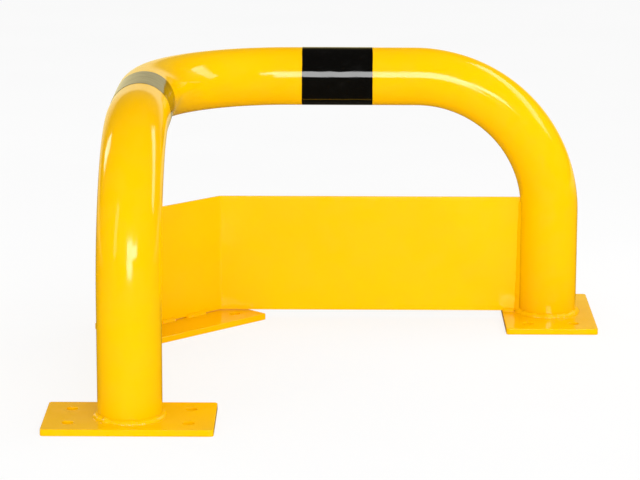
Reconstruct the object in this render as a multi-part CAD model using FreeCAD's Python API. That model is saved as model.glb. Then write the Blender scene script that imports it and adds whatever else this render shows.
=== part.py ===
import FreeCAD, Part
import math
import os

from FreeCAD import Vector

# Corner guard for a wall or rack corner: one bent tube hoop on two legs, with a bent
# underrun plate near the floor and three drilled base plates. All sizes in millimetres.
# Frame: origin on the floor at the middle of the outline, +Z up. The left leg stands at
# the front left, the right leg at the back right, and the corner between them is at the
# back left. The left arm runs along Y and the right arm along X.

# Hoop
tube_diameter = 76.1
tube_wall = 3.2
leg_spacing = 524.0           # from a leg's axis to the corner of the two arm axes
axis_height = 326.0           # floor to the axis of the arms
bend_radius = 180.0           # all three bends, on the tube's axis

# Base plates
plate_length = 200.0
plate_depth = 120.0
plate_thickness = 8.0
plate_corner_radius = 4.0
plate_edge_chamfer = 0.8
hole_diameter = 14.0
hole_spacing_long = 140.0
hole_spacing_short = 60.0

# Underrun plate
sheet_thickness = 4.0
sheet_top = 164.0
sheet_gap = 0.8               # root gap over the base plates, filled at the welds
chamfer_length = 120.0        # the 45 degree facet, between its two bend lines
sheet_bend_radius = 7.0       # on the middle of the sheet

# Corner base plate, turned 45 degrees
corner_plate_shift = -11.0    # along its length, towards the left leg

# Black bands
band_width = 94.0
band_thickness = 0.25
left_band_to_leg = 272.0      # leg axis to the middle of the band
right_band_to_leg = 283.0

# Weld beads
foot_weld_leg = 6.0
upright_weld_radius = 5.0
stitch_weld_radius = 5.0
upright_weld_below_top = 4.0  # the bead stops this far under the sheet's top edge
foot_stitch_length = 16.0

# The corner plate's two stitches: length, and place along the facet from its middle
short_stitch_length = 25.0
short_stitch_place = -36.0
long_stitch_length = 34.0
long_stitch_place = 14.0

# Cutting tools stand this far past what they cut
overrun = 1.0

tube_radius = tube_diameter / 2.0
leg_inset = plate_length / 2.0
outline = leg_spacing + leg_inset + plate_depth / 2.0
left_leg_x = -outline / 2.0 + leg_inset
left_leg_y = -outline / 2.0 + plate_depth / 2.0
right_leg_x = left_leg_x + leg_spacing
right_leg_y = left_leg_y + leg_spacing
chamfer_angle = math.radians(45.0)
chamfer_reach = chamfer_length * math.cos(chamfer_angle)
sheet_bottom = plate_thickness + sheet_gap
up = Vector(0, 0, 1)


def arc_edge(center, start_direction, end_direction):
    """Quarter turn of the hoop's axis about center, between two unit directions."""
    middle = (start_direction + end_direction).normalize()
    directions = (start_direction, middle, end_direction)
    points = [center + direction * bend_radius for direction in directions]
    return Part.Arc(*points).toShape()


def line_edge(start, end):
    return Part.LineSegment(start, end).toShape()


def hoop_axis():
    """Wire along the tube's axis, from the left foot over the corner to the right foot."""
    x = Vector(1, 0, 0)
    y = Vector(0, 1, 0)
    left_foot = Vector(left_leg_x, left_leg_y, plate_thickness)
    right_foot = Vector(right_leg_x, right_leg_y, plate_thickness)
    bend_start = axis_height - bend_radius
    left_center = Vector(left_leg_x, left_leg_y + bend_radius, bend_start)
    corner_center = Vector(left_leg_x + bend_radius, right_leg_y - bend_radius, axis_height)
    right_center = Vector(right_leg_x - bend_radius, right_leg_y, bend_start)
    edges = [
        line_edge(left_foot, left_center - y * bend_radius),
        arc_edge(left_center, -y, up),
        line_edge(left_center + up * bend_radius, corner_center - x * bend_radius),
        arc_edge(corner_center, -x, y),
        line_edge(corner_center + y * bend_radius, right_center + up * bend_radius),
        arc_edge(right_center, up, x),
        line_edge(right_center + x * bend_radius, right_foot),
    ]
    return Part.Wire(edges)


def swept_round(radius):
    """Solid bar of the given radius along the hoop's axis."""
    foot = Vector(left_leg_x, left_leg_y, plate_thickness)
    profile = Part.Wire([Part.makeCircle(radius, foot, up)])
    return hoop_axis().makePipeShell([profile], True, False)


def hoop_tube():
    return swept_round(tube_radius).cut(swept_round(tube_radius - tube_wall))


def base_plate(x, y, turn):
    """Drilled plate centred on (x, y), its long side along X before it is turned about Z."""
    blank = Part.makeBox(plate_length, plate_depth, plate_thickness,
                         Vector(-plate_length / 2.0, -plate_depth / 2.0, 0))
    half_height = plate_thickness / 2.0
    uprights = [edge for edge in blank.Edges if edge.BoundBox.ZLength > half_height]
    blank = blank.makeFillet(plate_corner_radius, uprights)
    rim = [edge for edge in blank.Edges if edge.BoundBox.ZMin > half_height]
    blank = blank.makeChamfer(plate_edge_chamfer, rim)
    drill_length = plate_thickness + 2.0 * overrun
    for side_x in (-1, 1):
        for side_y in (-1, 1):
            drill_x = side_x * hole_spacing_long / 2.0
            drill_y = side_y * hole_spacing_short / 2.0
            drill = Part.makeCylinder(hole_diameter / 2.0, drill_length, Vector(drill_x, drill_y, -overrun))
            blank = blank.cut(drill)
    blank.rotate(Vector(0, 0, 0), up, turn)
    blank.translate(Vector(x, y, 0))
    return blank


def corner_plate_center():
    """Middle of the corner plate: its back long side passes under the corner of the arm axes."""
    along = corner_plate_shift * math.cos(chamfer_angle)
    across = plate_depth / 2.0 * math.sin(chamfer_angle)
    return Vector(left_leg_x + along + across, right_leg_y + along - across, 0)


def underrun_axis():
    """Wire along the middle of the bent sheet, from one leg's axis to the other's."""
    z = sheet_bottom
    start = Vector(left_leg_x, left_leg_y, z)
    first_bend = Vector(left_leg_x, right_leg_y - chamfer_reach, z)
    second_bend = Vector(left_leg_x + chamfer_reach, right_leg_y, z)
    end = Vector(right_leg_x, right_leg_y, z)
    half_turn = chamfer_angle / 2.0
    tangent = sheet_bend_radius * math.tan(half_turn)
    edges = []
    previous = start
    for before, bend, after in ((start, first_bend, second_bend), (first_bend, second_bend, end)):
        incoming = (bend - before).normalize()
        outgoing = (after - bend).normalize()
        arc_start = bend - incoming * tangent
        arc_end = bend + outgoing * tangent
        toward_center = (outgoing - incoming).normalize()
        center = bend + toward_center * (sheet_bend_radius / math.cos(half_turn))
        arc_middle = center - toward_center * sheet_bend_radius
        edges.append(line_edge(previous, arc_start))
        edges.append(Part.Arc(arc_start, arc_middle, arc_end).toShape())
        previous = arc_end
    edges.append(line_edge(previous, end))
    return Part.Wire(edges)


def underrun_sheet():
    """Bent sheet, coped at both ends to fit against the legs."""
    half = sheet_thickness / 2.0
    low = Vector(left_leg_x - half, left_leg_y, sheet_bottom)
    high = Vector(left_leg_x + half, left_leg_y, sheet_top)
    corners = [low, Vector(high.x, low.y, low.z), high, Vector(low.x, low.y, high.z), low]
    profile = Part.makePolygon(corners)
    sheet = underrun_axis().makePipeShell([profile], True, False)
    return sheet.cut(swept_round(tube_radius))


def band(on_left_arm):
    """Thin sleeve of black film round one arm."""
    if on_left_arm:
        start = Vector(left_leg_x, left_leg_y + left_band_to_leg - band_width / 2.0, axis_height)
        direction = Vector(0, 1, 0)
    else:
        start = Vector(right_leg_x - right_band_to_leg - band_width / 2.0, right_leg_y, axis_height)
        direction = Vector(1, 0, 0)
    outside = Part.makeCylinder(tube_radius + band_thickness, band_width, start, direction)
    inside = Part.makeCylinder(tube_radius, band_width, start, direction)
    return outside.cut(inside)


def foot_weld(x, y, sheet):
    """Fillet bead round a leg's foot, open where the sheet stands against the leg."""
    base = Vector(x, y, plate_thickness)
    bead = Part.makeCone(tube_radius + foot_weld_leg, tube_radius, foot_weld_leg, base)
    bead = bead.cut(Part.makeCylinder(tube_radius, foot_weld_leg, base))
    return bead.cut(sheet)


def upright_weld(x, y, sheet, tube, foot_bead):
    """Beads down both faces of the sheet where its end meets a leg."""
    length = sheet_top - upright_weld_below_top - plate_thickness
    bar = Part.makeCylinder(upright_weld_radius, length, Vector(x, y, plate_thickness))
    return bar.cut(sheet).cut(tube).cut(foot_bead)


def stitch_bar(middle, direction, length, sheet):
    """Short bead along the bottom edge of the sheet, on both of its faces."""
    start = middle - direction * (length / 2.0)
    bar = Part.makeCylinder(stitch_weld_radius, length, start, direction)
    reach = length + overrun
    depth = stitch_weld_radius + overrun
    below = Part.makeBox(2.0 * reach, 2.0 * reach, depth, middle - Vector(reach, reach, depth))
    return bar.cut(below).cut(sheet)


def corner_plate_stitches(sheet):
    """Two stitches along the 45 degree facet, on the corner plate."""
    direction = Vector(1, 1, 0).normalize()
    middle = Vector(left_leg_x + chamfer_reach / 2.0, right_leg_y - chamfer_reach / 2.0, plate_thickness)
    short_middle = middle + direction * short_stitch_place
    long_middle = middle + direction * long_stitch_place
    short_stitch = stitch_bar(short_middle, direction, short_stitch_length, sheet)
    long_stitch = stitch_bar(long_middle, direction, long_stitch_length, sheet)
    return Part.makeCompound([short_stitch, long_stitch])


def foot_stitch(x, y, direction, sheet, upright_bead, foot_bead):
    """One stitch holding the sheet's bottom edge to a leg's base plate."""
    middle = Vector(x, y, plate_thickness)
    return stitch_bar(middle, direction, foot_stitch_length, sheet).cut(upright_bead).cut(foot_bead)


def save(name, shape):
    solids = shape.Solids
    kept = solids[0] if len(solids) == 1 else Part.makeCompound(solids)
    kept.exportStep(os.path.join("parts", name + ".step"))
    volume = sum(solid.Volume for solid in solids)
    valid = all(solid.isValid() for solid in solids)
    print(f"{name}: {len(solids)} solid(s), {volume / 1000.0:.1f} cm3, valid {valid}")


def build():
    os.makedirs("parts", exist_ok=True)
    solid_hoop = swept_round(tube_radius)
    tube = hoop_tube()
    sheet = underrun_sheet()
    section = math.pi * (tube_radius ** 2 - (tube_radius - tube_wall) ** 2)
    print(f"tube volume over section times length: {tube.Volume / (section * hoop_axis().Length):.4f}")

    corner = corner_plate_center()
    left_foot_bead = foot_weld(left_leg_x, left_leg_y, sheet)
    right_foot_bead = foot_weld(right_leg_x, right_leg_y, sheet)
    left_upright = upright_weld(left_leg_x, left_leg_y + tube_radius, sheet, solid_hoop, left_foot_bead)
    right_upright = upright_weld(right_leg_x - tube_radius, right_leg_y, sheet, solid_hoop, right_foot_bead)
    stitch_reach = plate_depth / 2.0 - foot_stitch_length / 2.0
    left_stitch = foot_stitch(left_leg_x, left_leg_y + stitch_reach, Vector(0, 1, 0),
                              sheet, left_upright, left_foot_bead)
    right_stitch = foot_stitch(right_leg_x - stitch_reach, right_leg_y, Vector(1, 0, 0),
                               sheet, right_upright, right_foot_bead)

    save("hoop_tube", tube)
    save("underrun_plate", sheet)
    save("left_base_plate", base_plate(left_leg_x, left_leg_y, 0))
    save("right_base_plate", base_plate(right_leg_x, right_leg_y, 90))
    save("corner_base_plate", base_plate(corner.x, corner.y, 45))
    save("left_arm_black_band", band(True))
    save("right_arm_black_band", band(False))
    save("left_foot_weld", left_foot_bead)
    save("right_foot_weld", right_foot_bead)
    save("left_upright_welds", left_upright)
    save("right_upright_welds", right_upright)
    save("left_plate_stitch_weld", left_stitch)
    save("right_plate_stitch_weld", right_stitch)
    save("corner_plate_stitch_welds", corner_plate_stitches(sheet))


build()
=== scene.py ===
import math

import bpy
import bmesh
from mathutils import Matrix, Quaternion, Vector, noise


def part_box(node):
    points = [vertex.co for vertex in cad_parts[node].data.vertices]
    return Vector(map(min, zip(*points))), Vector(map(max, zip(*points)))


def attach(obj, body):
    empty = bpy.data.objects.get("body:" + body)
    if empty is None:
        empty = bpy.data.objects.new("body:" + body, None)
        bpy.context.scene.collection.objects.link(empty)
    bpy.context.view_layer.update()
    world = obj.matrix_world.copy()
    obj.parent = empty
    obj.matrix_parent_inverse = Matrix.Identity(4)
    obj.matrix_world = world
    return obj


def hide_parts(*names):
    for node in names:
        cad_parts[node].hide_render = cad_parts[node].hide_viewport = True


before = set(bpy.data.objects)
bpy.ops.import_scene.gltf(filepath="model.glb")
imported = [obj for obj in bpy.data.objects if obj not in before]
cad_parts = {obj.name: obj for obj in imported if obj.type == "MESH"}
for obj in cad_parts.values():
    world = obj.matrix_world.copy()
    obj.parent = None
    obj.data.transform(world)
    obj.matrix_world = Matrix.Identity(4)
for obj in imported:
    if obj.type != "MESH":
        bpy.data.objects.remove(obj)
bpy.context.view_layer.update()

xAxis = Vector((1, 0, 0))
yAxis = Vector((0, 1, 0))
zAxis = Vector((0, 0, 1))
mm = 0.001
sameSpot = 1e-7           # points nearer than this are one point


def middleOf(node):
    low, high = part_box(node)
    return (low + high) / 2


leftLeg = middleOf("left_base_plate")       # both legs stand on the middle of their plate
rightLeg = middleOf("right_base_plate")
cornerPlate = middleOf("corner_base_plate")
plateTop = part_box("left_base_plate")[1].z
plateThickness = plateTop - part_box("left_base_plate")[0].z
tubeRadius = leftLeg.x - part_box("hoop_tube")[0].x
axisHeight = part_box("hoop_tube")[1].z - tubeRadius
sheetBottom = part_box("underrun_plate")[0].z
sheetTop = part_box("underrun_plate")[1].z
print("frame loaded: legs at", tuple(round(v, 4) for v in leftLeg), tuple(round(v, 4) for v in rightLeg))


def meshPiece(name, points, faces, smoothAngle=35):
    mesh = bpy.data.meshes.new(name)
    mesh.from_pydata([tuple(p) for p in points], [], faces)
    mesh.validate()
    tidyNormals(mesh)
    mesh.polygons.foreach_set("use_smooth", [True] * len(mesh.polygons))
    mesh.set_sharp_from_angle(angle=math.radians(smoothAngle))
    piece = bpy.data.objects.new(name, mesh)
    bpy.context.scene.collection.objects.link(piece)
    return piece


def tidyNormals(mesh):
    shape = bmesh.new()
    shape.from_mesh(mesh)
    bmesh.ops.remove_doubles(shape, verts=shape.verts, dist=sameSpot)
    bmesh.ops.recalc_face_normals(shape, faces=shape.faces)
    shape.to_mesh(mesh)
    shape.free()


def loft(sections, closed, firstIndex=0):
    # quads between rings of equal length, with flat ends when the loft isn't a closed loop
    count = len(sections[0])
    points = [p for section in sections for p in section]
    faces = []
    last = len(sections) if closed else len(sections) - 1
    for i in range(last):
        here = firstIndex + i * count
        there = firstIndex + ((i + 1) % len(sections)) * count
        for k in range(count):
            n = (k + 1) % count
            faces.append((here + k, here + n, there + n, there + k))
    if not closed:
        faces.append(tuple(firstIndex + k for k in reversed(range(count))))
        faces.append(tuple(firstIndex + (len(sections) - 1) * count + k for k in range(count)))
    return points, faces


def keep(piece, material, slotName, *nodes):
    piece.data.materials.clear()
    piece.data.materials.append(material)
    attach(piece, "root")
    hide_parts(*nodes)
    return piece


def wander(position, scale, seed=0.0):
    # smooth noise from -1 to 1, the same on every run
    return noise.noise(Vector((position.x / scale + seed, position.y / scale, position.z / scale)))


def ease(t):
    t = min(max(t, 0.0), 1.0)
    return t * t * (3 - 2 * t)


def paintStart(name):
    # a material with its shader, ready to be wired
    material = bpy.data.materials.new(name)
    material.use_nodes = True
    tree = material.node_tree
    tree.nodes.clear()
    shader = tree.nodes.new("ShaderNodeBsdfPrincipled")
    output = tree.nodes.new("ShaderNodeOutputMaterial")
    place = tree.nodes.new("ShaderNodeTexCoord")
    tree.links.new(shader.outputs["BSDF"], output.inputs["Surface"])
    return material, tree, shader, output, place


def speckle(tree, place, scale, detail=2.0, roughness=0.5):
    made = tree.nodes.new("ShaderNodeTexNoise")
    made.inputs["Scale"].default_value = scale
    made.inputs["Detail"].default_value = detail
    made.inputs["Roughness"].default_value = roughness
    tree.links.new(place.outputs["Object"], made.inputs["Vector"])
    return made.outputs["Fac"]


def spread(tree, value, low, high, fromLow=0.35, fromHigh=0.65):
    made = tree.nodes.new("ShaderNodeMapRange")
    made.interpolation_type = "SMOOTHSTEP"
    for entry, number in zip(("From Min", "From Max", "To Min", "To Max"), (fromLow, fromHigh, low, high)):
        made.inputs[entry].default_value = number
    tree.links.new(value, made.inputs["Value"])
    return made.outputs["Result"]


mixFirst, mixSecond, mixResult = 6, 7, 2       # a mix node's colour sockets
shaderFirst, shaderSecond = 1, 2               # a mix shader's two inputs


def mixColour(tree, factor, first, second):
    # first and second are colours, or the outputs that carry them
    made = tree.nodes.new("ShaderNodeMix")
    made.data_type = "RGBA"
    tree.links.new(factor, made.inputs["Factor"])
    for socket, colour in ((made.inputs[mixFirst], first), (made.inputs[mixSecond], second)):
        if isinstance(colour, tuple):
            socket.default_value = colour
        else:
            tree.links.new(colour, socket)
    return made.outputs[mixResult]


def bump(tree, height, depth, under=None):
    made = tree.nodes.new("ShaderNodeBump")
    made.inputs["Distance"].default_value = depth
    tree.links.new(height, made.inputs["Height"])
    if under:
        tree.links.new(under, made.inputs["Normal"])
    return made.outputs["Normal"]


yellowCoat = {
    "main": (0.93, 0.515, 0.0, 1.0),       # traffic yellow
    "deep": (0.92, 0.49, 0.0, 1.0),        # where the powder lies thicker
    "edge": (0.90, 0.43, 0.0, 1.0),        # thin coat over sharp edges
    "edgeFrom": 0.515,                     # pointiness where the thin coat begins and ends
    "edgeTo": 0.60,
    "cloudScale": 7.0,
    "cloudDetail": 3.0,
    "sheenScale": 55.0,
    "sheenDetail": 3.0,
    "roughLow": 0.08,
    "roughHigh": 0.15,
    "peelScale": 420.0,                    # orange peel, about 2 mm
    "peelDepth": 0.012 * mm,
    "waveScale": 26.0,                     # long ripple in the steel under the coat
    "waveDetail": 1.0,
    "waveDepth": 0.12 * mm,
    "specular": 0.38,
}
weldCoat = {
    **yellowCoat,
    "peelScale": 700.0,
    "peelDepth": 0.02 * mm,
    "waveScale": 230.0,
    "waveDepth": 0.12 * mm,
    "roughLow": 0.07,
    "roughHigh": 0.16,
}


def powderCoat(name, look):
    material, tree, shader, output, place = paintStart(name)
    clouds = speckle(tree, place, look["cloudScale"], look["cloudDetail"])
    cloud = spread(tree, clouds, 0.0, 1.0)
    base = mixColour(tree, cloud, look["main"], look["deep"])
    geometry = tree.nodes.new("ShaderNodeNewGeometry")
    edge = spread(tree, geometry.outputs["Pointiness"], 0.0, 1.0, look["edgeFrom"], look["edgeTo"])
    tree.links.new(mixColour(tree, edge, base, look["edge"]), shader.inputs["Base Color"])
    sheen = speckle(tree, place, look["sheenScale"], look["sheenDetail"])
    tree.links.new(spread(tree, sheen, look["roughLow"], look["roughHigh"]), shader.inputs["Roughness"])
    wave = bump(tree, speckle(tree, place, look["waveScale"], look["waveDetail"]), look["waveDepth"])
    peel = bump(tree, speckle(tree, place, look["peelScale"]), look["peelDepth"], wave)
    tree.links.new(peel, shader.inputs["Normal"])
    shader.inputs["Specular IOR Level"].default_value = look["specular"]
    return material


sheetCoatWithPaintedLight = {                              # the same coat on the flat sheet, with less gloss and a lighter base colour: painted light that brightens the sheet
    **yellowCoat,
    # painted light: main and deep are lighter than on the tube's coat, standing in for the extra light
    # falling on the sheet
    "main": (0.93, 0.56, 0.0, 1.0),
    "deep": (0.92, 0.535, 0.0, 1.0),
    "specular": 0.24,
    "roughLow": 0.14,
    "roughHigh": 0.21,
}
yellowPaint = powderCoat("yellowPowderCoat", yellowCoat)
sheetPaintWithPaintedLight = powderCoat("yellowCoatOnSheetPaintedLighter", sheetCoatWithPaintedLight)
weldPaint = powderCoat("yellowCoatOverWeld", weldCoat)
print("yellow powder coat mixed")


hoop = {
    "wall": 3.2 * mm,
    "bendRadius": 180 * mm,
    "sides": 112,
    "straightStep": 9 * mm,
    "bendSteps": 44,
    "flattening": 0.010,      # how much a bend loses across its own plane
    "bendFade": 0.16,         # share of the bend over which that comes in
}


def hoopStations():
    # (point, tangent, direction away from the bend's centre, how far into the bend)
    r = hoop["bendRadius"]
    turn = axisHeight - r
    stations = []

    def straight(start, end):
        steps = max(2, math.ceil((end - start).length / hoop["straightStep"]))
        along = (end - start).normalized()
        for i in range(steps):
            stations.append((start.lerp(end, i / steps), along, None, 0.0))

    def bend(center, outward, onward):
        for i in range(hoop["bendSteps"]):
            t = i / hoop["bendSteps"]
            angle = t * math.pi / 2
            radial = outward * math.cos(angle) + onward * math.sin(angle)
            along = onward * math.cos(angle) - outward * math.sin(angle)
            inside = ease(t / hoop["bendFade"]) * ease((1 - t) / hoop["bendFade"])
            stations.append((center + radial * r, along, radial, inside))

    leftFoot = Vector((leftLeg.x, leftLeg.y, plateTop))
    rightFoot = Vector((rightLeg.x, rightLeg.y, plateTop))
    leftCenter = Vector((leftLeg.x, leftLeg.y + r, turn))
    cornerCenter = Vector((leftLeg.x + r, rightLeg.y - r, axisHeight))
    rightCenter = Vector((rightLeg.x - r, rightLeg.y, turn))
    straight(leftFoot, leftCenter - yAxis * r)
    bend(leftCenter, -yAxis, zAxis)
    straight(leftCenter + zAxis * r, cornerCenter - xAxis * r)
    bend(cornerCenter, -xAxis, yAxis)
    straight(cornerCenter + yAxis * r, rightCenter + zAxis * r)
    bend(rightCenter, zAxis, xAxis)
    straight(rightCenter + xAxis * r, rightFoot)
    stations.append((rightFoot, -zAxis, None, 0.0))
    return stations


def tubeRings(stations, radius):
    side = xAxis.copy()
    rings = []
    for point, along, radial, inside in stations:
        side = (side - along * side.dot(along)).normalized()
        other = along.cross(side)
        ring = []
        for k in range(hoop["sides"]):
            angle = 2 * math.pi * k / hoop["sides"]
            offset = (side * math.cos(angle) + other * math.sin(angle)) * radius
            if radial is not None:
                offset -= radial * (offset.dot(radial) * hoop["flattening"] * inside)
            ring.append(point + offset)
        rings.append(ring)
    return rings


def makeHoop():
    stations = hoopStations()
    count = hoop["sides"]
    outer = tubeRings(stations, tubeRadius)
    inner = tubeRings(stations, tubeRadius - hoop["wall"])
    points = [p for ring in outer + inner for p in ring]
    innerStart = len(outer) * count
    faces = []
    for i in range(len(stations) - 1):
        for k in range(count):
            n = (k + 1) % count
            a, b = i * count, (i + 1) * count
            faces.append((a + k, a + n, b + n, b + k))
            faces.append((innerStart + a + k, innerStart + b + k, innerStart + b + n, innerStart + a + n))
    for end in (0, (len(stations) - 1) * count):
        for k in range(count):
            n = (k + 1) % count
            faces.append((end + k, end + n, innerStart + end + n, innerStart + end + k))
    return meshPiece("hoopTube", points, faces)


keep(makeHoop(), yellowPaint, "yellow_coat", "hoop_tube")
print("hoop tube bent")


basePlate = {
    "length": 200 * mm,
    "depth": 120 * mm,
    "cornerRadius": 4 * mm,
    "edgeRadius": 0.8 * mm,
    "edgeSteps": 4,
    "cornerSteps": 10,
    "holeDiameter": 14 * mm,
    "holeSteps": 48,
    "holeSpacingLong": 140 * mm,
    "holeSpacingShort": 60 * mm,
    "flatWeight": 100,           # keeps the shading of the large faces flat up to their rims
    "leftTurn": 0,               # degrees in plan, from lying along X
    "rightTurn": 90,
    "cornerTurn": 45,
}


def roundedOutline(length, depth, radius, steps):
    outline = []
    for sideX, sideY, start in ((1, 1, 0), (-1, 1, 90), (-1, -1, 180), (1, -1, 270)):
        center = Vector((sideX * (length / 2 - radius), sideY * (depth / 2 - radius), 0))
        for i in range(steps + 1):
            angle = math.radians(start + 90 * i / steps)
            outline.append(center + Vector((math.cos(angle), math.sin(angle), 0)) * radius)
    return outline


def circleOutline(center, radius, steps):
    return [center + Vector((math.cos(a), math.sin(a), 0)) * radius
            for a in (2 * math.pi * i / steps for i in range(steps))]


def makePlate(name, center, turn):
    rim = basePlate["edgeRadius"]
    curve = bpy.data.curves.new(name, "CURVE")
    curve.dimensions = "2D"
    curve.fill_mode = "BOTH"
    curve.extrude = plateThickness / 2 - rim
    curve.bevel_depth = rim
    curve.bevel_resolution = basePlate["edgeSteps"]
    curve.offset = -rim
    loops = [roundedOutline(basePlate["length"], basePlate["depth"], basePlate["cornerRadius"],
                            basePlate["cornerSteps"])]
    holeX, holeY = basePlate["holeSpacingLong"] / 2, basePlate["holeSpacingShort"] / 2
    for sideX in (-1, 1):
        for sideY in (-1, 1):
            hole = Vector((sideX * holeX, sideY * holeY, 0))
            loops.append(circleOutline(hole, basePlate["holeDiameter"] / 2, basePlate["holeSteps"]))
    for loop in loops:
        spline = curve.splines.new("POLY")
        spline.points.add(len(loop) - 1)
        for target, p in zip(spline.points, loop):
            target.co = (p.x, p.y, 0, 1)
        spline.use_cyclic_u = True
    blank = bpy.data.objects.new(name + "Blank", curve)
    mesh = bpy.data.meshes.new_from_object(blank)
    bpy.data.objects.remove(blank)
    plate = bpy.data.objects.new(name, mesh)
    bpy.context.scene.collection.objects.link(plate)
    tidyNormals(mesh)
    cos, sin = math.cos(math.radians(turn)), math.sin(math.radians(turn))
    for vertex in mesh.vertices:
        x, y, z = vertex.co
        vertex.co = (center.x + x * cos - y * sin, center.y + x * sin + y * cos, z + plateThickness / 2)
    mesh.polygons.foreach_set("use_smooth", [True] * len(mesh.polygons))
    flat = plate.modifiers.new("flatFaces", "WEIGHTED_NORMAL")
    flat.weight = basePlate["flatWeight"]
    return plate


keep(makePlate("leftBasePlate", leftLeg, basePlate["leftTurn"]), yellowPaint, "yellow_coat",
     "left_base_plate")
keep(makePlate("rightBasePlate", rightLeg, basePlate["rightTurn"]), yellowPaint, "yellow_coat",
     "right_base_plate")
keep(makePlate("cornerBasePlate", cornerPlate, basePlate["cornerTurn"]), yellowPaint, "yellow_coat",
     "corner_base_plate")
print("three base plates cut and drilled")


underrun = {
    "thickness": 4 * mm,
    "facet": 120 * mm,           # the 45 degree facet between its bend lines
    "bendRadius": 7 * mm,        # on the middle of the sheet
    "bendSteps": 8,
    "step": 8 * mm,
    "rows": 22,
    "edgeRadius": 0.7 * mm,
    "edgeSteps": 3,
    "warp": 0.35 * mm,           # slight heat warp between the welds
    "warpSize": 110 * mm,
    "warpFade": 40 * mm,         # no warp this near a leg
}
facetTurn = math.radians(45)


def sheetPath():
    # (point, direction along the sheet) in plan, from the left leg's axis to the right leg's
    reach = underrun["facet"] * math.cos(facetTurn)
    corners = [
        Vector((leftLeg.x, leftLeg.y, 0)),
        Vector((leftLeg.x, rightLeg.y - reach, 0)),
        Vector((leftLeg.x + reach, rightLeg.y, 0)),
        Vector((rightLeg.x, rightLeg.y, 0)),
    ]
    r = underrun["bendRadius"]
    tangent = r * math.tan(facetTurn / 2)
    path = []

    def straight(start, end):
        steps = math.ceil((end - start).length / underrun["step"])
        along = (end - start).normalized()
        path.extend((start.lerp(end, i / steps), along) for i in range(steps))

    previous = corners[0]
    for before, corner, after in zip(corners, corners[1:], corners[2:]):
        incoming = (corner - before).normalized()
        outgoing = (after - corner).normalized()
        arcStart = corner - incoming * tangent
        straight(previous, arcStart)
        right = Vector((incoming.y, -incoming.x, 0))       # both bends turn to the right
        center = arcStart + right * r
        for i in range(underrun["bendSteps"]):
            angle = facetTurn * i / underrun["bendSteps"]
            along = incoming * math.cos(angle) + right * math.sin(angle)
            outward = incoming * math.sin(angle) - right * math.cos(angle)
            path.append((center + outward * r, along))
        previous = corner + outgoing * tangent
    straight(previous, corners[3])
    path.append((corners[3], (corners[3] - corners[2]).normalized()))
    return path


def legInset(z):
    # how far the leg's surface stands from its axis, in the direction of its own arm
    half = underrun["thickness"] / 2
    surface = math.sqrt(tubeRadius ** 2 - half ** 2)
    rise = max(0.0, z - (axisHeight - hoop["bendRadius"]))
    r = hoop["bendRadius"]
    return surface + r - math.sqrt(r * r - rise * rise)


def sheetSection():
    # (offset across the sheet, height) once round, with all four edges rounded
    half = underrun["thickness"] / 2
    rim = underrun["edgeRadius"]
    low, high = sheetBottom + rim, sheetTop - rim
    rows = underrun["rows"]
    section = [(half, low + (high - low) * i / rows) for i in range(rows)]
    for side, z, start in ((half - rim, high, 0), (rim - half, high, 90)):
        section += roundedEdge(side, z, start)
    section += [(-half, high - (high - low) * i / rows) for i in range(1, rows)]
    for side, z, start in ((rim - half, low, 180), (half - rim, low, 270)):
        section += roundedEdge(side, z, start)
    return section[:-1]                       # the last point is the first one again


def roundedEdge(side, z, start):
    rim, steps = underrun["edgeRadius"], underrun["edgeSteps"]
    angles = [math.radians(start + 90 * i / steps) for i in range(steps + 1)]
    return [(side + rim * math.cos(a), z + rim * math.sin(a)) for a in angles]


def makeSheet():
    section = sheetSection()
    path = sheetPath()
    start, end = path[0][0], path[-1][0]
    kept = [s for s in path if (s[0] - start).length > tubeRadius and (s[0] - end).length > tubeRadius]
    path = [(start, path[0][1])] + kept + [(end, path[-1][1])]
    sections = []
    for index, (point, along) in enumerate(path):
        across = Vector((along.y, -along.x, 0))
        ring = []
        for offset, z in section:
            place = Vector(point)
            if index == 0:
                place += along * legInset(z)
            elif index == len(path) - 1:
                place -= along * legInset(z)
            near = min((place - start).length, (place - end).length) - tubeRadius
            bulge = wander(Vector((place.x, place.y, z)), underrun["warpSize"]) * underrun["warp"]
            bulge *= ease(near / underrun["warpFade"])
            ring.append(Vector((place.x, place.y, z)) + across * (offset + bulge))
        sections.append(ring)
    points, faces = loft(sections, closed=False)
    return meshPiece("underrunPlate", points, faces)


keep(makeSheet(), sheetPaintWithPaintedLight, "yellow_coat", "underrun_plate")
print("underrun plate folded")


bead = {
    "bury": 0.35 * mm,          # how far a bead's root lies inside the steel
    "sectionSteps": 9,
    "step": 0.7 * mm,
    "ripplePitch": 2.6 * mm,
    "rippleRest": 0.6,          # mean of the ripple, so that it doesn't change the size
    "lumpSize": 9 * mm,
    "lumpSeed": 3.7,
    "endLength": 2.5 * mm,      # over which a bead's end rounds off
    "endLeast": 0.15,
    "smoothAngle": 60,          # degrees; a sharper fold than this stays a sharp edge
}
# size, ripple and lump as a share of the size, and crown: 1 is a full round bead, 2 a flat one
footBeadLook = {"size": 5.0 * mm, "ripple": 0.13, "lump": 0.42, "crown": 1.2}
uprightBeadLook = {"size": 3.0 * mm, "footSize": 6.2 * mm, "ripple": 0.06, "lump": 0.16, "crown": 1.75,
                   "belowTop": 5 * mm, "abovePlate": 1 * mm}
stitchBeadLook = {"size": 4.6 * mm, "ripple": 0.14, "lump": 0.35, "crown": 1.3}


def beadSize(look, size, travelled, position):
    ripple = abs(math.sin(math.pi * travelled / bead["ripplePitch"])) - bead["rippleRest"]
    lump = wander(position, bead["lumpSize"], bead["lumpSeed"])
    return size * (1 + ripple * look["ripple"] + lump * look["lump"])


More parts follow.
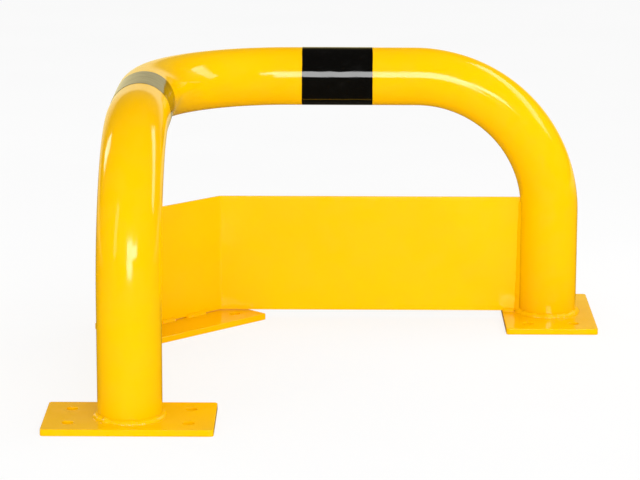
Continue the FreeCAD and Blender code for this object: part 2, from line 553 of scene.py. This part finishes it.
def beadSection(look, corner, first, second, size):
    # a fillet between two surfaces that leave the corner along first and second
    root = corner - (first + second) * bead["bury"]
    section = [root]
    for i in range(bead["sectionSteps"] + 1):
        angle = math.pi / 2 * i / bead["sectionSteps"]
        a = math.cos(angle) ** look["crown"] * (size + bead["bury"])
        b = math.sin(angle) ** look["crown"] * (size + bead["bury"])
        section.append(root + first * a + second * b)
    return section


def footBead(center, sheetSide):
    # once round the foot, from one face of the sheet to the other
    gap = (underrun["thickness"] / 2) / tubeRadius
    start = math.atan2(sheetSide.y, sheetSide.x) + gap
    sweep = 2 * math.pi - 2 * gap
    steps = round(sweep * tubeRadius / bead["step"])
    sections = []
    for i in range(steps + 1):
        angle = start + sweep * i / steps
        outward = Vector((math.cos(angle), math.sin(angle), 0))
        corner = Vector((center.x, center.y, plateTop)) + outward * tubeRadius
        size = beadSize(footBeadLook, footBeadLook["size"], sweep * tubeRadius * i / steps, corner)
        sections.append(beadSection(footBeadLook, corner, outward, zAxis, size))
    return sections


def endRound(distance):
    # rises from nearly nothing at a bead's end to 1, like a quarter circle
    t = min(1.0, distance / bead["endLength"])
    return max(bead["endLeast"], math.sqrt(1 - (1 - t) ** 2))


def straightBead(look, start, end, first, second, sizeStart, sizeEnd):
    length = (end - start).length
    steps = round(length / bead["step"])
    sections = []
    for i in range(steps + 1):
        t = i / steps
        corner = start.lerp(end, t)
        size = beadSize(look, sizeStart + (sizeEnd - sizeStart) * t, length * t, corner)
        size *= endRound(min(t, 1 - t) * length)
        sections.append(beadSection(look, corner, first, second, size))
    return sections


def joinBeads(name, runs):
    points, faces = [], []
    for sections in runs:
        morePoints, moreFaces = loft(sections, closed=False, firstIndex=len(points))
        points += morePoints
        faces += moreFaces
    return meshPiece(name, points, faces, smoothAngle=bead["smoothAngle"])


def uprightBeads(leg, sheetSide):
    # one bead down each face of the sheet, from just under its top to the base plate
    look = uprightBeadLook
    runs = []
    for face in (-1, 1):
        across = Vector((sheetSide.y, -sheetSide.x, 0)) * face
        foot = Vector((leg.x, leg.y, 0)) + sheetSide * legInset(0) + across * (underrun["thickness"] / 2)
        top = foot + zAxis * (sheetTop - look["belowTop"])
        bottom = foot + zAxis * (plateTop + look["abovePlate"])
        runs.append(straightBead(look, top, bottom, sheetSide, across, look["size"], look["footSize"]))
    return runs


def stitchBeads(middle, along, length):
    # the same short bead on both faces of the sheet
    look = stitchBeadLook
    runs = []
    for face in (-1, 1):
        across = Vector((along.y, -along.x, 0)) * face
        corner = middle + across * (underrun["thickness"] / 2)
        start, end = corner - along * (length / 2), corner + along * (length / 2)
        runs.append(straightBead(look, start, end, across, zAxis, look["size"], look["size"]))
    return runs


keep(joinBeads("leftFootWeld", [footBead(leftLeg, yAxis)]), weldPaint, "coated_weld", "left_foot_weld")
keep(joinBeads("rightFootWeld", [footBead(rightLeg, -xAxis)]), weldPaint, "coated_weld", "right_foot_weld")
keep(joinBeads("leftUprightWelds", uprightBeads(leftLeg, yAxis)), weldPaint, "coated_weld",
     "left_upright_welds")
keep(joinBeads("rightUprightWelds", uprightBeads(rightLeg, -xAxis)), weldPaint, "coated_weld",
     "right_upright_welds")

stitches = {
    "shortLength": 25 * mm,
    "shortPlace": -36 * mm,      # along the facet, from its middle
    "longLength": 34 * mm,
    "longPlace": 14 * mm,
    "footLength": 16 * mm,
}


def facetStitches():
    diagonal = (xAxis + yAxis).normalized()
    reach = underrun["facet"] * math.cos(facetTurn)
    middle = Vector((leftLeg.x + reach / 2, rightLeg.y - reach / 2, plateTop))
    runs = stitchBeads(middle + diagonal * stitches["shortPlace"], diagonal, stitches["shortLength"])
    return runs + stitchBeads(middle + diagonal * stitches["longPlace"], diagonal, stitches["longLength"])


def footStitch(node, along):
    place = middleOf(node)
    return stitchBeads(Vector((place.x, place.y, plateTop)), along, stitches["footLength"])


keep(joinBeads("cornerPlateStitchWelds", facetStitches()), weldPaint, "coated_weld",
     "corner_plate_stitch_welds")
keep(joinBeads("leftPlateStitchWeld", footStitch("left_plate_stitch_weld", yAxis)), weldPaint, "coated_weld",
     "left_plate_stitch_weld")
keep(joinBeads("rightPlateStitchWeld", footStitch("right_plate_stitch_weld", xAxis)), weldPaint,
     "coated_weld", "right_plate_stitch_weld")
print("weld beads laid")


bandFilm = {
    "thickness": 0.18 * mm,
    "edgeRadius": 0.08 * mm,
    "sides": 128,
    "lap": 9 * mm,               # the film's end lies over its start, under the arm
    "lapStep": 0.07 * mm,
    "skew": 0.6 * mm,            # cut and wrapped by hand, so its edges wander
    "skewSize": 30 * mm,
    "main": (0.0022, 0.0020, 0.0018, 1.0),
    "dusty": (0.008, 0.0075, 0.007, 1.0),
    "dustScale": 90.0,
    "dustDetail": 6.0,
    "dustRoughness": 0.7,
    "dustFrom": 0.52,
    "dustTo": 0.80,
    "sheenScale": 40.0,
    "roughLow": 0.05,
    "roughHigh": 0.11,
    "waveScale": 38.0,           # the film bridges small hollows in the coat
    "waveDetail": 1.0,
    "waveDepth": 0.40 * mm,
    "grainScale": 900.0,
    "grainDetail": 1.0,
    "grainDepth": 0.003 * mm,
}


def glossFilm(name, look):
    material, tree, shader, output, place = paintStart(name)
    specks = speckle(tree, place, look["dustScale"], look["dustDetail"], look["dustRoughness"])
    dust = spread(tree, specks, 0.0, 1.0, look["dustFrom"], look["dustTo"])
    tree.links.new(mixColour(tree, dust, look["main"], look["dusty"]), shader.inputs["Base Color"])
    sheen = speckle(tree, place, look["sheenScale"])
    tree.links.new(spread(tree, sheen, look["roughLow"], look["roughHigh"]), shader.inputs["Roughness"])
    wave = bump(tree, speckle(tree, place, look["waveScale"], look["waveDetail"]), look["waveDepth"])
    grains = speckle(tree, place, look["grainScale"], look["grainDetail"])
    grain = bump(tree, grains, look["grainDepth"], wave)
    tree.links.new(grain, shader.inputs["Normal"])
    return material


blackGloss = glossFilm("glossBlackFilm", bandFilm)


def makeBand(name, node, along):
    low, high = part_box(node)
    center = (low + high) / 2
    half = (high - low).dot(along) / 2 - bandFilm["skew"]
    rim = bandFilm["edgeRadius"]
    side = zAxis.cross(along)
    lapAngle = bandFilm["lap"] / tubeRadius
    angles = [2 * math.pi * k / bandFilm["sides"] for k in range(bandFilm["sides"])]
    turns = [(0.0, 0.0)]                       # the lapped end is one sharp step
    turns += [(angle, bandFilm["lapStep"] if angle < lapAngle else 0.0) for angle in angles]
    sections = []
    for angle, step in turns:
        outward = side * math.sin(angle) - zAxis * math.cos(angle)
        inner, outer = tubeRadius, tubeRadius + bandFilm["thickness"] + step
        skew = [wander(center + along * end + outward * inner, bandFilm["skewSize"]) * bandFilm["skew"]
                for end in (-half, half)]
        start, end = -half + skew[0], half + skew[1]
        profile = [(start, inner), (start, outer - rim), (start + rim, outer), (end - rim, outer),
                   (end, outer - rim), (end, inner)]
        sections.append([center + along * a + outward * r for a, r in profile])
    points, faces = loft(sections, closed=True)
    return meshPiece(name, points, faces)


keep(makeBand("leftArmBlackBand", "left_arm_black_band", yAxis), blackGloss, "black_film",
     "left_arm_black_band")
keep(makeBand("rightArmBlackBand", "right_arm_black_band", xAxis), blackGloss, "black_film",
     "right_arm_black_band")
print("black bands wrapped")


paleFloor = {
    "size": 60.0,
    "light": (0.90, 0.90, 0.90, 1.0),
    "dark": (0.87, 0.87, 0.87, 1.0),
    "cloudScale": 3.0,
    "roughness": 0.85,
    "whiteness": 0.82,           # how far the camera sees it as plain white paper
    "hallMirrored": (0.045, 0.040, 0.025, 1.0),    # the gloss mirrors a dull floor in front
    "sweepMirrored": (0.98, 0.86, 0.47, 1.0),      # and a warm pale one behind
    "sweepFrom": 0.5,            # metres behind the guard's middle
    "sweepTo": 2.6,
}


def floorPaint(look):
    material, tree, shader, output, place = paintStart("palePaint")
    cloud = spread(tree, speckle(tree, place, look["cloudScale"]), 0.0, 1.0)
    tree.links.new(mixColour(tree, cloud, look["light"], look["dark"]), shader.inputs["Base Color"])
    shader.inputs["Roughness"].default_value = look["roughness"]
    paper = tree.nodes.new("ShaderNodeEmission")
    mirrored = tree.nodes.new("ShaderNodeEmission")
    split = tree.nodes.new("ShaderNodeSeparateXYZ")
    tree.links.new(place.outputs["Object"], split.inputs["Vector"])
    depth = spread(tree, split.outputs["Y"], 0.0, 1.0, look["sweepFrom"], look["sweepTo"])
    mirroredColour = mixColour(tree, depth, look["hallMirrored"], look["sweepMirrored"])
    tree.links.new(mirroredColour, mirrored.inputs["Color"])
    ray = tree.nodes.new("ShaderNodeLightPath")
    white = tree.nodes.new("ShaderNodeMapRange")
    white.inputs["To Max"].default_value = look["whiteness"]
    tree.links.new(ray.outputs["Is Camera Ray"], white.inputs["Value"])
    seen = tree.nodes.new("ShaderNodeMixShader")
    chosen = tree.nodes.new("ShaderNodeMixShader")
    tree.links.new(white.outputs["Result"], seen.inputs["Fac"])
    tree.links.new(shader.outputs["BSDF"], seen.inputs[shaderFirst])
    tree.links.new(paper.outputs["Emission"], seen.inputs[shaderSecond])
    tree.links.new(ray.outputs["Is Glossy Ray"], chosen.inputs["Fac"])
    tree.links.new(seen.outputs["Shader"], chosen.inputs[shaderFirst])
    tree.links.new(mirrored.outputs["Emission"], chosen.inputs[shaderSecond])
    tree.links.new(chosen.outputs["Shader"], output.inputs["Surface"])
    return material


def makeFloor():
    half = paleFloor["size"] / 2
    corners = [(-half, -half, 0), (half, -half, 0), (half, half, 0), (-half, half, 0)]
    mesh = bpy.data.meshes.new("paleFloor")
    mesh.from_pydata(corners, [], [(0, 1, 2, 3)])
    floor = bpy.data.objects.new("paleFloor", mesh)
    bpy.context.scene.collection.objects.link(floor)
    mesh.materials.append(floorPaint(paleFloor))


room = {
    "dome": 0.81,                                 # even light from all round
    "hall": (0.022, 0.021, 0.017, 1.0),           # what the gloss mirrors of the room in front
    "horizon": (0.98, 0.86, 0.47, 1.0),           # low behind the guard, warm and pale
    "upper": (0.34, 0.28, 0.11, 1.0),             # higher behind it
    "behind": (0.76, 0.97),                       # along Y, where the backdrop fades in
    "upperFrom": (0.17, 0.26),                    # along Z, where its upper part begins
    "backdropTop": (0.45, 0.80),
}


def makeRoom():
    # white for the camera, an even dome for the light, and a dim hall with a pale backdrop
    # for what the gloss mirrors
    world = bpy.data.worlds.new("softStudio")
    bpy.context.scene.world = world
    world.use_nodes = True
    tree = world.node_tree
    tree.nodes.clear()
    output = tree.nodes.new("ShaderNodeOutputWorld")
    ray = tree.nodes.new("ShaderNodeLightPath")
    place = tree.nodes.new("ShaderNodeTexCoord")
    split = tree.nodes.new("ShaderNodeSeparateXYZ")
    tree.links.new(place.outputs["Generated"], split.inputs["Vector"])

    def background(strength):
        made = tree.nodes.new("ShaderNodeBackground")
        made.inputs["Color"].default_value = (1, 1, 1, 1)
        made.inputs["Strength"].default_value = strength
        return made

    def choose(kind, otherwise, chosen):
        made = tree.nodes.new("ShaderNodeMixShader")
        tree.links.new(ray.outputs[kind], made.inputs["Fac"])
        tree.links.new(otherwise.outputs[0], made.inputs[shaderFirst])
        tree.links.new(chosen.outputs[0], made.inputs[shaderSecond])
        return made

    behind = spread(tree, split.outputs["Y"], 0.0, 1.0, *room["behind"])
    upper = spread(tree, split.outputs["Z"], 0.0, 1.0, *room["upperFrom"])
    top = spread(tree, split.outputs["Z"], 0.0, 1.0, *room["backdropTop"])
    backdrop = mixColour(tree, top, mixColour(tree, upper, room["horizon"], room["upper"]), room["hall"])
    mirrored = background(1.0)
    tree.links.new(mixColour(tree, behind, room["hall"], backdrop), mirrored.inputs["Color"])
    lighting = choose("Is Glossy Ray", background(room["dome"]), mirrored)
    whole = choose("Is Camera Ray", lighting, background(1.0))
    tree.links.new(whole.outputs["Shader"], output.inputs["Surface"])


# each soft box: degrees to the right of the front, degrees up, tilt, distance, width, height, watts
softBoxes = {
    "frontBox": (5, 17, 0, 6.0, 1.88, 2.35, 134),
    "frontRightBox": (22, 20, 0, 6.0, 1.72, 0.86, 50),
    "leftBox": (-121, 22, 0, 2.6, 0.45, 0.70, 5),
    "leftFrontBox": (-47, 26, 0, 2.8, 0.40, 1.40, 3.5),
    "rightStrip": (113, 35, 30, 1.11, 0.95, 0.24, 2.8),
}
lightAim = Vector((0.0, 0.0, 0.20))


def makeLights():
    for name, (azimuth, elevation, tilt, distance, width, height, watts) in softBoxes.items():
        around, lift = math.radians(azimuth), math.radians(elevation)
        level = math.cos(lift)
        toward = Vector((math.sin(around) * level, -math.cos(around) * level, math.sin(lift)))
        light = bpy.data.lights.new(name, "AREA")
        light.shape = "RECTANGLE"
        light.size, light.size_y = width, height
        light.energy = watts
        box = bpy.data.objects.new(name, light)
        box.location = lightAim + toward * distance
        facing = (-toward).to_track_quat("-Z", "Y")
        box.rotation_euler = (facing @ Quaternion(zAxis, math.radians(tilt))).to_euler()
        bpy.context.scene.collection.objects.link(box)


viewpoint = {
    "place": (-0.0054, -3.5340, 0.9308),
    "turn": (77.652, -0.162, 0.306),     # degrees
    "lens": 162.6,
    "sensor": 36.0,
}


def makeCamera():
    lens = bpy.data.cameras.new("camera")
    lens.lens = viewpoint["lens"]
    lens.sensor_width = viewpoint["sensor"]
    camera = bpy.data.objects.new("camera", lens)
    camera.location = viewpoint["place"]
    camera.rotation_euler = [math.radians(angle) for angle in viewpoint["turn"]]
    bpy.context.scene.collection.objects.link(camera)
    bpy.context.scene.camera = camera


makeFloor()
makeRoom()
makeLights()
makeCamera()
bpy.context.scene.view_settings.view_transform = "Standard"
print("studio set")
